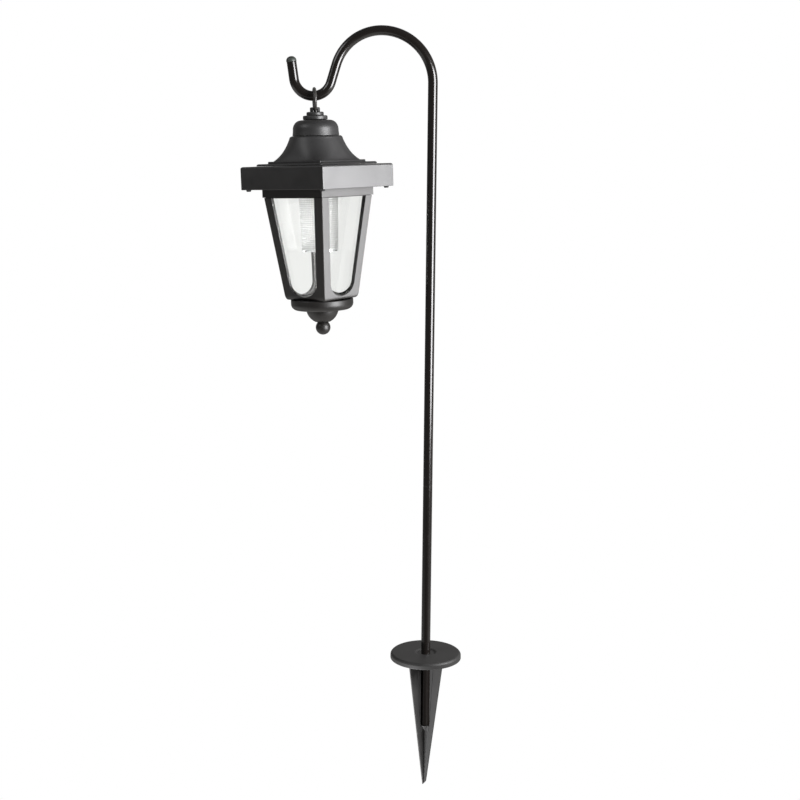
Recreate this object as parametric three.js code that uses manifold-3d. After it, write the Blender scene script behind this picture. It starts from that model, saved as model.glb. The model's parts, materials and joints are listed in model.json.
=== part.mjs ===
// Solar garden lantern on a shepherd's hook: millimetres, +Z up.
// The origin is on the pole's axis at ground level, where the stake's disc rests on the soil.
// The hook bends towards -X, and -Y is the front.
import * as THREE from 'three';
import { mergeVertices } from 'three/addons/utils/BufferGeometryUtils.js';
import { ParametricGeometry } from 'three/addons/geometries/ParametricGeometry.js';
import Module from 'manifold-3d';

const wasm = await Module();
wasm.setup();

// ---------- driving dimensions ----------
const GAP = 0.3;                    // clearance between pieces that touch

// pole and hook
const TUBE_R = 5.4;
const TUBE_BORE_R = 4.6;
const TUBE_SIDES = 12;
const BORE_SIDES = 8;
const JOINT_Z = 209.5;              // where the two pole sections meet
const SPIGOT_R = 4.3;               // swaged end of the upper section
const SPIGOT_BORE_R = 3.5;
const SPIGOT_LENGTH = 30;
const HOOK_STRAIGHT_TOP = 666.1;    // the crook starts here
const CROOK_R = 56.7;               // first bend, a quarter turn
const SHOULDER_R = 52.4;            // second bend, over the far side
const SHOULDER_TURN = 73;
const NECK_LENGTH = 20.1;           // straight run into the small bend
const J_R = 21;                     // small bend that the ring hangs in
const J_TURN = 155;
const TIP_LENGTH = 18.6;
const CAP_R = 5.7;                  // domed plug in the tip
const CAP_HEIGHT = 6.2;
const CAP_SHANK = 9;

// ground stake
const DISC_R = 41.9;
const DISC_TOP = 7.3;               // flat top, from the rim to the dish
const DISH_R = 12.5;                // shallow dish round the pole
const DISH_FLOOR = 5.6;
const SOCKET_R = 7.2;
const SOCKET_BORE_R = 5.7;
const SOCKET_DEPTH = 84;            // how far the pole goes in below ground level
const SOCKET_END = 91;
const SOCKET_SLOT_HALF = 5.2;       // the socket is open to front and back, so the pole shows
const FIN_TOP_REACH = 28.4;
const FIN_TIP_REACH = 2;
const FIN_T = 2.6;
const ROOT_T = 4.4;                 // the fins are thicker beside the socket
const ROOT_TOP_REACH = 15;
const ROOT_LOW_REACH = 8;
const STAKE_LENGTH = 161;

// hanging ring
const RING_WIRE_R = 1.85;
const RING_R = 11.7;                // centre line

// lantern: its own frame has z = 0 at the eave's lower edge, on the lantern's axis
const LANTERN_X = -127.3;
const LANTERN_Z = 551;
const LANTERN_TILT = -2.09;         // the cell's weight leans it, degrees about Y
const LANTERN_YAW = 7.2;            // degrees; a corner faces the front
const RING_LOW_Z = 85;              // ring's lowest centre line, in the turret's eye

// turret, dome and canopy
const EYE_R = RING_WIRE_R + GAP;
const STUD_R = 2.5;
const STUD_HOLE_R = 2.8;
const DOME_TOP = 74.7;
const DOME_BOTTOM = 57.6;
const DOME_R = 26;
const SHELL_T = 2;
const BELL_TOP = 57.3;
const BELL_TOP_R = 29.8;            // widest point of the rounded shoulder
const BELL_SHOULDER_Z = 54.4;
const BELL_LOW = { half: 37.6, corner: 48.5, z: 30.3 };
const UPPER_STEP = { half: 38.7, low: 27.9, high: 30.3 };
const LOWER_STEP = { half: 48, low: 25.6, high: 27.9 };
const STEP_CHAMFER = 1.6;           // on the lower step's upper edge
const BELL_MOUTH_R = 30;

// roof tray and underplate
const EAVE_HALF = 60.6;
const EAVE_H = 25.3;
const EAVE_CHAMFER = 1.9;
const TRAY_WALL = 2;
const TRAY_TOP_T = 3;
const CELL_W = 10;
const CELL_L = 92;
const CELL_T = 1.4;
const CELL_CENTRE = 53.4;           // from the axis to a strip's middle
const SCREW_AT = 54.5;              // underplate screws, from the axis each way
const BELL_SCREW_AT = 34;
const PLATE_LOW = 0.2;
const PLATE_T = 2;
const COLLAR_HALF = 44;
const COLLAR_T = 1.6;
const COLLAR_DROP = 9;

// light engine
const DIFFUSER_TOP_R = 22.2;
const DIFFUSER_LOW_R = 20.3;
const DIFFUSER_LOW = -68.4;
const DIFFUSER_T = 1.5;
const FLANGE_R = 22.8;
const LED_R = 2.5;
const BATTERY_X = -31.8;
const BATTERY_R = 7.1;
const BATTERY_L = 28.3;
const BATTERY_Z = 8.9;
const BAY = { halfX: 7.5, halfY: 16.2, top: 17.6, wall: 1.2 };
const SWITCH_X = 32;

// cage
const CAGE_TOP = -9.3;
const CAGE_LOW = -118.5;
const CAGE_FOOT = -124;
const CAGE_TOP_HALF = 43.2;
const CAGE_LOW_HALF = 30.2;
const CAGE_FOOT_HALF = 28;
const CAGE_WALL = 3.4;
const CAGE_FLOOR_T = 2.4;
const SPIGOT_HALF = COLLAR_HALF - COLLAR_T - GAP;
const POST_W = 11.4;
const WINDOW_TOP = -9.8;
const ARCH_START = -103.5;
const ARCH_BOTTOM = -120;
const PANE_T = 1.2;

// base and finial
const CUP_R = 35.4;
const CUP_TOP = CAGE_FOOT - 0.4;
const BALL_R = 8.4;
const BALL_Z = -157;
const BALL_STUD_R = 2;
const CUP_EDGE = -129.2;            // the cup's side rounds in below this
const BOWL_Z = -134.6;              // centre of the bowl's curve
const BOWL_LOW = -150.7;

const rad = THREE.MathUtils.degToRad;
const taper = (CAGE_TOP_HALF - CAGE_LOW_HALF) / (CAGE_TOP - CAGE_LOW);
const cageHalf = (z) => CAGE_TOP_HALF + taper * (z - CAGE_TOP);

// ---------- materials ----------
const surface = (color, roughness, metalness = 0, extra = {}) =>
  new THREE.MeshStandardMaterial({ color, roughness, metalness, ...extra });
const look = {
  steel: surface(0x0b0b0c, 0.18, 0.3),
  shell: surface(0x26262a, 0.45),
  stake: surface(0x3b3b39, 0.75),
  cap: surface(0x55565a, 0.7),
  wire: surface(0x2a2a2c, 0.3, 0.8),
  clear: surface(0xf2f5f3, 0.08, 0, { transparent: true, opacity: 0.35 }),
  silver: surface(0xb9bcc0, 0.2, 0.9),
  cell: surface(0x11131f, 0.12, 0.2),
  screw: surface(0x9a9da1, 0.35, 0.9),
  board: surface(0x1f5a33, 0.5),
  led: surface(0xf4efd8, 0.15),
  battery: surface(0x2f7d4a, 0.4),
  red: surface(0xa01d1d, 0.5),
  black: surface(0x151515, 0.5),
  knob: surface(0x101012, 0.5),
};

// ---------- solids ----------
// A closed solid from a three.js geometry, with zero-area faces dropped and faces pointing out.
function solid(geometry) {
  const bare = geometry.clone();
  bare.deleteAttribute('normal');
  bare.deleteAttribute('uv');
  const merged = mergeVertices(bare, 1e-4);
  const points = merged.attributes.position;
  const index = merged.index.array;
  const faces = [];
  const corner = [0, 1, 2].map(() => new THREE.Vector3());
  let volume = 0;
  for (let i = 0; i < index.length; i += 3) {
    const [a, b, c] = [index[i], index[i + 1], index[i + 2]];
    if (a === b || b === c || c === a) continue;
    [a, b, c].forEach((at, k) => corner[k].fromBufferAttribute(points, at));
    volume += corner[0].dot(corner[1].clone().cross(corner[2]));
    faces.push([a, b, c]);
  }
  const outward = volume > 0 ? faces : faces.map(([a, b, c]) => [a, c, b]);
  return new wasm.Manifold(new wasm.Mesh({
    numProp: 3,
    vertProperties: new Float32Array(points.array),
    triVerts: new Uint32Array(outward.flat()),
  }));
}

function geometryOf(body) {
  const data = body.getMesh();
  const geometry = new THREE.BufferGeometry();
  geometry.setAttribute('position', new THREE.BufferAttribute(data.vertProperties, 3));
  geometry.setIndex(new THREE.BufferAttribute(data.triVerts, 1));
  return geometry;
}

const joined = (...bodies) => bodies.reduce((all, one) => all.add(one));
const cut = (body, ...tools) => tools.reduce((left, tool) => left.subtract(tool), body);

// Box from its centre in plan and its z range.
function box(width, depth, low, high, x = 0, y = 0) {
  const geometry = new THREE.BoxGeometry(width, depth, high - low);
  return solid(geometry.translate(x, y, (low + high) / 2));
}

// Upright cylinder, or cone frustum when lowR is given.
function rod(r, low, high, x = 0, y = 0, sides = 24, lowR = r) {
  const geometry = new THREE.CylinderGeometry(r, lowR, high - low, sides).rotateX(Math.PI / 2);
  return solid(geometry.translate(x, y, (low + high) / 2));
}

// Square block with its faces square to X and Y, tapering between two heights.
function block(halfLow, halfHigh, low, high) {
  const geometry = new THREE.CylinderGeometry(
    halfHigh * Math.SQRT2, halfLow * Math.SQRT2, high - low, 4);
  return solid(geometry.rotateY(Math.PI / 4).rotateX(Math.PI / 2).translate(0, 0, (low + high) / 2));
}

// Body of revolution about Z from [r, z] points, which start and end on the axis or close on themselves.
function turned(profile, sides = 32) {
  const points = profile.map(([r, z]) => new THREE.Vector2(r, z));
  return solid(new THREE.LatheGeometry(points, sides).rotateX(Math.PI / 2));
}

// Points of an arc in a profile, from one angle to another in degrees.
function arc(r, z, radius, from, to, steps, radiusZ = radius) {
  return Array.from({ length: steps + 1 }, (_, i) => {
    const angle = rad(from + (to - from) * i / steps);
    return [r + radius * Math.cos(angle), z + radiusZ * Math.sin(angle)];
  });
}

// Wire of round section along hand-placed points.
function wire(points, r, sides, steps) {
  const path = new THREE.CatmullRomCurve3(points.map((p) => new THREE.Vector3(...p)));
  const section = new THREE.Shape().setFromPoints(circle(r, sides));
  return solid(new THREE.ExtrudeGeometry(section, { steps, extrudePath: path }));
}

const circle = (r, sides) => Array.from({ length: sides }, (_, i) =>
  new THREE.Vector2(r * Math.cos(2 * Math.PI * i / sides), r * Math.sin(2 * Math.PI * i / sides)));

const group = new THREE.Group();
const lantern = new THREE.Group();
lantern.position.set(LANTERN_X, 0, LANTERN_Z);
lantern.rotation.set(0, rad(LANTERN_TILT), rad(LANTERN_YAW));
const square = new THREE.Group();   // faces of the square pieces are square to its X and Y
square.rotation.z = Math.PI / 4;
lantern.add(square);
group.add(lantern);

function piece(name, body, material, parent = group) {
  const mesh = new THREE.Mesh(geometryOf(body), material);
  mesh.name = name;
  parent.add(mesh);
  return mesh;
}

// ---------- pole and hook ----------
// The upper section's centre line as a tube bender makes it: straights and bends in the XZ plane.
class HookPath extends THREE.Curve {
  constructor() {
    super();
    this.stations = [];
    const at = new THREE.Vector2(0, JOINT_Z + GAP / 2);
    let heading = 90;
    const forward = () => new THREE.Vector2(Math.cos(rad(heading)), Math.sin(rad(heading)));
    const keep = () => this.stations.push({ at: at.clone(), tangent: forward() });
    const straight = (length) => {
      at.addScaledVector(forward(), length);
      keep();
    };
    // side +1 bends to the left of the heading, -1 to the right
    const bend = (radius, turn, side, steps) => {
      const across = forward().rotateAround(new THREE.Vector2(), side * Math.PI / 2);
      const centre = at.clone().addScaledVector(across, radius);
      for (let i = 0; i < steps; i += 1) {
        at.rotateAround(centre, side * rad(turn) / steps);
        heading += side * turn / steps;
        keep();
      }
    };
    keep();
    straight(HOOK_STRAIGHT_TOP - at.y);
    bend(CROOK_R, 90, 1, 10);
    bend(SHOULDER_R, SHOULDER_TURN, 1, 8);
    straight(NECK_LENGTH);
    bend(J_R, J_TURN, -1, 12);
    straight(TIP_LENGTH);
    this.end = { at: at.clone(), heading };
  }

  station(t) {
    return this.stations[Math.round(t * (this.stations.length - 1))];
  }

  getPointAt(t) {
    const { at } = this.station(t);
    return new THREE.Vector3(at.x, 0, at.y);
  }

  getPoint(t) {
    return this.getPointAt(t);
  }

  getTangentAt(t) {
    const { tangent } = this.station(t);
    return new THREE.Vector3(tangent.x, 0, tangent.y);
  }
}

function tubeSection(outer, bore) {
  const section = new THREE.Shape().setFromPoints(circle(outer, TUBE_SIDES));
  section.holes.push(new THREE.Path().setFromPoints(circle(bore, BORE_SIDES)));
  return section;
}

const hookPath = new HookPath();

function hookTube() {
  const tube = solid(new THREE.ExtrudeGeometry(tubeSection(TUBE_R, TUBE_BORE_R), {
    steps: hookPath.stations.length - 1, extrudePath: hookPath,
  }));
  const top = JOINT_Z + 12;
  const spigot = turned([
    [SPIGOT_BORE_R, JOINT_Z - SPIGOT_LENGTH], [SPIGOT_R, JOINT_Z - SPIGOT_LENGTH],
    [SPIGOT_R, JOINT_Z + 1], [TUBE_R - 0.4, JOINT_Z + 3], [TUBE_R - 0.4, top],
    [SPIGOT_BORE_R, top], [SPIGOT_BORE_R, JOINT_Z - SPIGOT_LENGTH],
  ], TUBE_SIDES);
  return joined(tube, spigot);
}

function lowerTube() {
  const low = -SOCKET_DEPTH;
  const high = JOINT_Z - GAP / 2;
  return turned([[TUBE_BORE_R, low], [TUBE_R, low], [TUBE_R, high], [TUBE_BORE_R, high], [TUBE_BORE_R, low]],
    TUBE_SIDES);
}

// The plug is made along Z and turned to the tip's direction.
function hookTipCap() {
  const { at, heading } = hookPath.end;
  const shankR = TUBE_BORE_R * Math.cos(Math.PI / BORE_SIDES) - GAP;
  const side = CAP_HEIGHT - CAP_R + 0.6;
  const body = turned([...arc(0, side, CAP_R, 90, 0, 6, CAP_HEIGHT - side), [CAP_R, GAP], [shankR, GAP],
    [shankR, -CAP_SHANK], [0, -CAP_SHANK]], 20);
  return body.rotate([0, 90 - heading, 0]).translate([at.x, 0, at.y]);
}

piece('lower_tube', lowerTube(), look.steel);
piece('hook_tube', hookTube(), look.steel);
piece('hook_tip_cap', hookTipCap(), look.cap);

// ---------- ground stake ----------
// A pair of opposite fins: one plate through the axis, tapering downwards.
function stakeFin(topReach, lowReach, low, thickness, angle) {
  const top = 4.6;
  const outline = new THREE.Shape([[-topReach, top], [-lowReach, low], [lowReach, low], [topReach, top]]
    .map(([x, z]) => new THREE.Vector2(x, z)));
  return solid(new THREE.ExtrudeGeometry(outline, { depth: thickness, bevelEnabled: false })
    .translate(0, 0, -thickness / 2).rotateX(Math.PI / 2).rotateZ(rad(angle)));
}

function groundStake() {
  const disc = turned([
    [0, 0.5], [DISC_R - 2, 0.5], [DISC_R - 2, 0], [DISC_R, 0], [DISC_R - 0.2, DISC_TOP - 2.4],
    [DISC_R - 1.2, DISC_TOP - 0.6], [DISC_R - 2.8, DISC_TOP], [DISH_R, DISC_TOP],
    [DISH_R - 2, DISH_FLOOR], [0, DISH_FLOOR],
  ], 40);
  const hollow = turned([[0, 0], [DISC_R - 2, 0], [DISC_R - 2.6, 4.6], [DISH_R + 2, 4.6],
    [DISH_R, 3], [0, 3]], 40).subtract(rod(SOCKET_R + 1, -1, 7));
  const socket = turned([
    [0, -SOCKET_END], [3.4, -SOCKET_END], [SOCKET_R, -SOCKET_END + 8], [SOCKET_R, 5], [0, 5],
  ], 20);
  const fins = [45, -45].flatMap((angle) => [
    stakeFin(FIN_TOP_REACH, FIN_TIP_REACH, -STAKE_LENGTH, FIN_T, angle),
    stakeFin(ROOT_TOP_REACH, ROOT_LOW_REACH, -SOCKET_END, ROOT_T, angle),
  ]);
  // the moulding's point is cut off at a slant
  const slant = solid(new THREE.BoxGeometry(40, 40, 20).translate(0, 0, -10)
    .rotateY(-rad(47.5)).translate(-FIN_TIP_REACH, 0, -STAKE_LENGTH));
  const bore = rod(SOCKET_BORE_R, -SOCKET_DEPTH - GAP, 20, 0, 0, TUBE_SIDES);
  const slot = box(2 * SOCKET_SLOT_HALF, 40, -SOCKET_DEPTH, -3);
  return cut(joined(disc.subtract(hollow), socket, ...fins), slant, bore, slot);
}
piece('ground_stake', groundStake(), look.stake);

// ---------- hanging ring ----------
// The ring stands in the lantern's YZ plane, round the hook above and through the turret's eye below.
const ringGeometry = new THREE.TorusGeometry(RING_R, RING_WIRE_R, 8, 24)
  .rotateY(Math.PI / 2).translate(0, 0, RING_LOW_Z + RING_R);
piece('hanging_ring', solid(ringGeometry), look.wire, lantern);

// ---------- turret, dome, canopy ----------
function finialTurret() {
  const body = turned([
    [0, 50], [STUD_R, 50], [STUD_R, 75], [13.1, 75], [13.7, 75.6], [13.7, 78.3], [12.7, 79.3], [8.9, 79.6],
    [9.5, 80.2], [9.5, 82.4], [8.5, 83.3], [5, 83.5], [5.5, 84], [5.5, 87.4], [4.5, 88.4], [0, 88.4],
  ], 20);
  // the eye flares both ways so that the ring can swing in it
  const reach = 8;
  const flare = [];
  for (let y = -reach; y <= reach; y += 2) {
    flare.push([RING_R - Math.sqrt(RING_R ** 2 - y ** 2) + EYE_R, y]);
  }
  const along = (shape) => shape.rotate([90, 0, 0]).translate([0, 0, RING_LOW_Z]);
  const trumpet = along(turned([[0, -reach], ...flare, [0, reach]], 16));
  const above = box(30, 30, 83.5, 100);
  return cut(body, trumpet.intersect(above), along(rod(EYE_R, -10, 10, 0, 0, 16)));
}

function domeCap() {
  const curve = (inset) => [
    [DOME_R - inset, DOME_BOTTOM],
    [DOME_R - 0.5 - inset, 64.2],
    ...arc(16, 64.4, 9.3 - inset, 0, 80, 5, 10.1 - inset),
    [STUD_HOLE_R, DOME_TOP - inset],
  ];
  return turned([...curve(0), ...curve(SHELL_T).reverse(), [DOME_R, DOME_BOTTOM]], 28);
}

// The canopy is round at its shoulder and flares into a square with rounded corners at its foot.
function canopyBell(inset) {
  const flare = new THREE.QuadraticBezierCurve(new THREE.Vector2(BELL_TOP_R, BELL_SHOULDER_Z),
    new THREE.Vector2(36.3, 37.6), new THREE.Vector2(BELL_LOW.corner, BELL_LOW.z));
  const shoulder = arc(BELL_TOP_R - 3, BELL_SHOULDER_Z, 3, 90, 25, 2, BELL_TOP - BELL_SHOULDER_Z);
  const rows = [[0, BELL_TOP], ...shoulder, ...flare.getPoints(6).map((p) => [p.x, p.y])];
  const outline = [[0, BELL_LOW.z], ...rows.reverse()].map(([r, z]) => {
    const down = THREE.MathUtils.clamp((BELL_SHOULDER_Z - z) / (BELL_SHOULDER_Z - BELL_LOW.z), 0, 1);
    const spread = THREE.MathUtils.lerp(1, BELL_LOW.corner / BELL_LOW.half, down * down);
    return { corner: Math.max(r - inset, 0), z: z - (z > BELL_LOW.z ? inset : 0), spread };
  });
  const last = outline.length - 1;
  // a superellipse whose corner is "spread" times as far out as its side
  const place = (u, v, target) => {
    const row = outline[Math.round(v * last)];
    const power = 1 / (0.5 - Math.log2(row.spread));
    const angle = 2 * Math.PI * u;
    const [c, s] = [Math.cos(angle), Math.sin(angle)];
    const side = row.corner / row.spread;
    const reach = side / (Math.abs(c) ** power + Math.abs(s) ** power) ** (1 / power);
    target.set(reach * c, reach * s, row.z);
  };
  return solid(new ParametricGeometry(place, 32, last));
}

function bellCanopy() {
  const edge = LOWER_STEP.high - STEP_CHAMFER;
  const steps = joined(block(LOWER_STEP.half, LOWER_STEP.half, LOWER_STEP.low, edge),
    block(LOWER_STEP.half, LOWER_STEP.half - STEP_CHAMFER, edge, LOWER_STEP.high),
    block(UPPER_STEP.half, UPPER_STEP.half, UPPER_STEP.low - 0.5, UPPER_STEP.high));
  const mouth = rod(BELL_MOUTH_R, LOWER_STEP.low - 1, UPPER_STEP.high + 1);
  const pilots = fourWays(BELL_SCREW_AT).map(([x, y]) => rod(1.5, LOWER_STEP.low - 1, 29.2, x, y, 8));
  const shell = canopyBell(0).subtract(canopyBell(SHELL_T));
  return cut(joined(shell, steps.subtract(mouth)), rod(STUD_HOLE_R, 50, 60), ...pilots);
}

function fourWays(reach) {
  return [[1, 1], [1, -1], [-1, -1], [-1, 1]].map(([x, y]) => [x * reach, y * reach]);
}

function hexNut(across, low, high, holeR) {
  return rod(across / Math.sqrt(3), low, high, 0, 0, 6).subtract(rod(holeR, low - 1, high + 1, 0, 0, 16));
}

piece('finial_turret', finialTurret(), look.shell, lantern);
piece('dome_cap', domeCap(), look.shell, lantern);
piece('bell_canopy', bellCanopy(), look.shell, square);
piece('turret_nut', hexNut(8, 51, 55 - GAP / 2, STUD_HOLE_R), look.screw, lantern);

// ---------- roof tray with its solar cells ----------
const TRAY_CEILING = EAVE_H - TRAY_TOP_T;
const PLATE_HIGH = PLATE_LOW + PLATE_T;
const LEAD_HOLE_R = 1.4;
// strip k lies along the tray's edge on the side that faces k quarter turns from +X
const quarter = (k, x, y) => {
  const [c, s] = [[1, 0], [0, 1], [-1, 0], [0, -1]][k];
  return [c * x - s * y, s * x + c * y];
};

function roofTray() {
  const outside = joined(block(EAVE_HALF, EAVE_HALF, 0, EAVE_H - EAVE_CHAMFER),
    block(EAVE_HALF, EAVE_HALF - EAVE_CHAMFER, EAVE_H - EAVE_CHAMFER, EAVE_H));
  const inner = EAVE_HALF - TRAY_WALL;
  const bosses = fourWays(SCREW_AT).map(([x, y]) => rod(3.6, PLATE_HIGH + GAP, TRAY_CEILING + 1, x, y, 12));
  const shell = joined(outside.subtract(block(inner, inner, -1, TRAY_CEILING)), ...bosses);
  const recess = CELL_T + GAP;
  const strips = [0, 1, 2, 3].map((k) => {
    const [w, d] = k % 2 ? [CELL_L, CELL_W] : [CELL_W, CELL_L];
    return box(w + 2 * GAP, d + 2 * GAP, EAVE_H - recess, EAVE_H + 1, ...quarter(k, CELL_CENTRE, 0));
  });
  const leadHoles = [0, 1, 2, 3].flatMap((k) => [-40, 40].map((y) =>
    rod(LEAD_HOLE_R, 18, EAVE_H, ...quarter(k, CELL_CENTRE, y), 8)));
  const pilots = fourWays(SCREW_AT).map(([x, y]) => rod(1.6, 0, 14, x, y, 8));
  const bellHoles = fourWays(BELL_SCREW_AT).map(([x, y]) => rod(1.7, 15, 30, x, y, 8));
  return cut(shell, ...strips, ...leadHoles, ...pilots, ...bellHoles, rod(12, 15, 30));
}

piece('roof_tray', roofTray(), look.shell, square);
const SIDES = ['back_right', 'back_left', 'front_left', 'front_right'];
SIDES.forEach((side, k) => {
  const [w, d] = k % 2 ? [CELL_L, CELL_W] : [CELL_W, CELL_L];
  const strip = box(w, d, EAVE_H - CELL_T, EAVE_H, ...quarter(k, CELL_CENTRE, 0));
  piece(`solar_cell_${side}`, strip, look.cell, square);
});

// Links join neighbouring strips under the roof's corners.
function cellLink(k) {
  const [x0, y0] = quarter(k, CELL_CENTRE, 40);
  const [x1, y1] = quarter((k + 1) % 4, CELL_CENTRE, -40);
  const top = EAVE_H - CELL_T - GAP;
  const points = [[x0, y0, top], [x0, y0, top - 3], [(x0 + x1) / 2, (y0 + y1) / 2, top - 4.2],
    [x1, y1, top - 3], [x1, y1, top]];
  return wire(points, 0.6, 6, 14);
}
[0, 1, 2].forEach((k) => piece(`cell_link_${k + 1}`, cellLink(k), look.black, square));

// Screw with a pan head underneath and its shank upwards.
function screw(headR, shankR, headLow, seat, tip, x, y) {
  return joined(rod(headR, headLow, seat, x, y, 16, headR * 0.75), rod(shankR, seat - 0.1, tip, x, y, 8));
}
fourWays(BELL_SCREW_AT).forEach(([x, y], k) => piece(`canopy_screw_${k + 1}`,
  screw(3, 1.2, TRAY_CEILING - 2, TRAY_CEILING - GAP, 28.6, x, y), look.screw, square));
fourWays(SCREW_AT).forEach(([x, y], k) => piece(`underplate_screw_${k + 1}`,
  screw(3, 1.3, -2, PLATE_LOW - GAP, 12.5, x, y), look.screw, square));

// ---------- underplate ----------
function turnedIn(body) {
  return body.rotate([0, 0, -45]);   // from the lantern's axes to the square's
}

function roofUnderplate() {
  const half = EAVE_HALF - TRAY_WALL - GAP;
  const plate = block(half, half, PLATE_LOW, PLATE_HIGH);
  const inner = COLLAR_HALF - COLLAR_T;
  const collar = block(COLLAR_HALF, COLLAR_HALF, -COLLAR_DROP, PLATE_LOW + 0.5)
    .subtract(block(inner, inner, -COLLAR_DROP - 1, PLATE_LOW));
  const bayOuter = box(2 * (BAY.halfX + BAY.wall), 2 * (BAY.halfY + BAY.wall), PLATE_LOW, BAY.top, BATTERY_X);
  const bayInner = box(2 * BAY.halfX, 2 * BAY.halfY, -1, BAY.top - BAY.wall, BATTERY_X);
  const leadSlots = [-1, 1].map((s) => box(3, 4, BAY.top - 6, BAY.top - 3,
    BATTERY_X + BAY.halfX, s * (BAY.halfY - 2)));
  const standoffs = [[-13, 9], [13, -9]].map(([x, y]) => rod(2, PLATE_HIGH - 0.5, 4.2, x, y, 10));
  const switchSlot = box(4.4, 8.4, -1, PLATE_HIGH + 1, SWITCH_X);
  const holes = fourWays(SCREW_AT).map(([x, y]) => rod(1.7, -1, 4, x, y, 8));
  const whole = joined(plate, collar, turnedIn(joined(bayOuter, ...standoffs)));
  return cut(whole, turnedIn(joined(bayInner, ...leadSlots, switchSlot, rod(LED_R + 0.6, -1, 4))), ...holes);
}
piece('roof_underplate', roofUnderplate(), look.shell, square);

// ---------- battery bay ----------
function alongY(body, x, z) {
  return body.rotate([90, 0, 0]).translate([x, 0, z]);
}
const BATTERY_SHIFT = 1;
const cell = joined(rod(BATTERY_R, -BATTERY_L / 2, BATTERY_L / 2 - 1.2, 0, 0, 20),
  rod(2.7, BATTERY_L / 2 - 1.5, BATTERY_L / 2, 0, 0, 12)).translate([0, 0, BATTERY_SHIFT]);
piece('battery', alongY(cell, BATTERY_X, BATTERY_Z), look.battery, lantern);
const plusEnd = -(BATTERY_L / 2 + BATTERY_SHIFT + GAP);
piece('battery_contact', box(9, 0.5, BATTERY_Z - 4.5, BATTERY_Z + 4.5, BATTERY_X, plusEnd - 0.25),
  look.screw, lantern);

function batterySpring() {
  const turns = 2;
  const wireR = 0.3;
  const start = BATTERY_L / 2 - BATTERY_SHIFT + GAP + wireR;
  const length = BAY.halfY - start - wireR - 0.15;
  const points = Array.from({ length: 21 }, (_, i) => {
    const t = i / 20;
    const angle = 2 * Math.PI * turns * t;
    const r = 3 + 1.6 * t;
    return [BATTERY_X + r * Math.cos(angle), start + length * t, BATTERY_Z + r * Math.sin(angle)];
  });
  return wire(points, wireR, 5, 36);
}
piece('battery_spring', batterySpring(), look.screw, lantern);

// The lid hangs from a hinge barrel on the side towards the lantern's axis.
const LID_HINGE_X = BATTERY_X + BAY.halfX - 0.6;
const LID_HINGE_Z = -0.9;
const LID_LOW = -1.5;
const LID_HIGH = PLATE_LOW - GAP;
function batteryLid() {
  const outside = BATTERY_X - BAY.halfX - 0.9;
  const inside = LID_HINGE_X - 0.5;
  const plate = box(inside - outside, 2 * BAY.halfY + 1.4, LID_LOW, LID_HIGH, (inside + outside) / 2);
  const withinCage = block(39.5, 39.5, -5, 5).rotate([0, 0, 45]);
  const barrel = alongY(rod(0.9, -8, 8, 0, 0, 10), LID_HINGE_X, LID_HINGE_Z);
  const grip = box(1.2, 10, LID_LOW - 1, LID_LOW + 0.1, outside + 1);
  return joined(plate.intersect(withinCage), barrel, grip);
}
piece('battery_lid', batteryLid(), look.shell, lantern);

// ---------- light engine ----------
const BOARD_LOW = 4.2 + GAP;
const board = box(34, 26, BOARD_LOW, BOARD_LOW + 1.6).subtract(rod(0.9, 3, 7, 0, 0, 8));
piece('circuit_board', board, look.board, lantern);

function led() {
  const dome = turned([[0, -5.2], ...arc(0, -2.7, LED_R, -60, 0, 4), [LED_R, 1.6], [LED_R + 0.4, 1.6],
    [LED_R + 0.4, 2.6], [0, 2.6]], 20);
  return joined(dome, rod(0.5, 2.4, BOARD_LOW + 2.2, 0, 0, 6));
}
piece('led', led(), look.led, lantern);

piece('switch_housing', box(6.4, 11, PLATE_HIGH + GAP, PLATE_HIGH + 5, SWITCH_X).subtract(
  box(4.4, 8.4, 2, PLATE_HIGH + 2.6, SWITCH_X)), look.silver, lantern);
const SWITCH_TRAVEL = 3;
piece('switch_knob', box(3.6, 4, -2.6, PLATE_HIGH + 2.2, SWITCH_X, -SWITCH_TRAVEL / 2), look.knob, lantern);

function diffuser() {
  const high = PLATE_LOW - GAP;
  const edge = high - 1.4;
  return turned([
    [DIFFUSER_LOW_R - DIFFUSER_T, DIFFUSER_LOW], [DIFFUSER_LOW_R, DIFFUSER_LOW], [DIFFUSER_TOP_R, edge],
    [FLANGE_R, edge], [FLANGE_R, high], [DIFFUSER_TOP_R - DIFFUSER_T, high],
    [DIFFUSER_LOW_R - DIFFUSER_T, DIFFUSER_LOW],
  ], 32);
}
piece('diffuser', diffuser(), look.clear, lantern);

const REFLECTOR_HIGH = DIFFUSER_LOW - GAP;
const REFLECTOR_R = DIFFUSER_LOW_R + 0.3;
const REFLECTOR_DISH_R = DIFFUSER_LOW_R - 2.4;
piece('reflector_disc', turned([
  [0, REFLECTOR_HIGH - 1.6], [REFLECTOR_R, REFLECTOR_HIGH - 1.6], [REFLECTOR_R, REFLECTOR_HIGH],
  [REFLECTOR_DISH_R, REFLECTOR_HIGH], [REFLECTOR_DISH_R, REFLECTOR_HIGH + 1.4], [3, REFLECTOR_HIGH + 8],
  [0, REFLECTOR_HIGH + 8.6],
], 32), look.silver, lantern);

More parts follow.
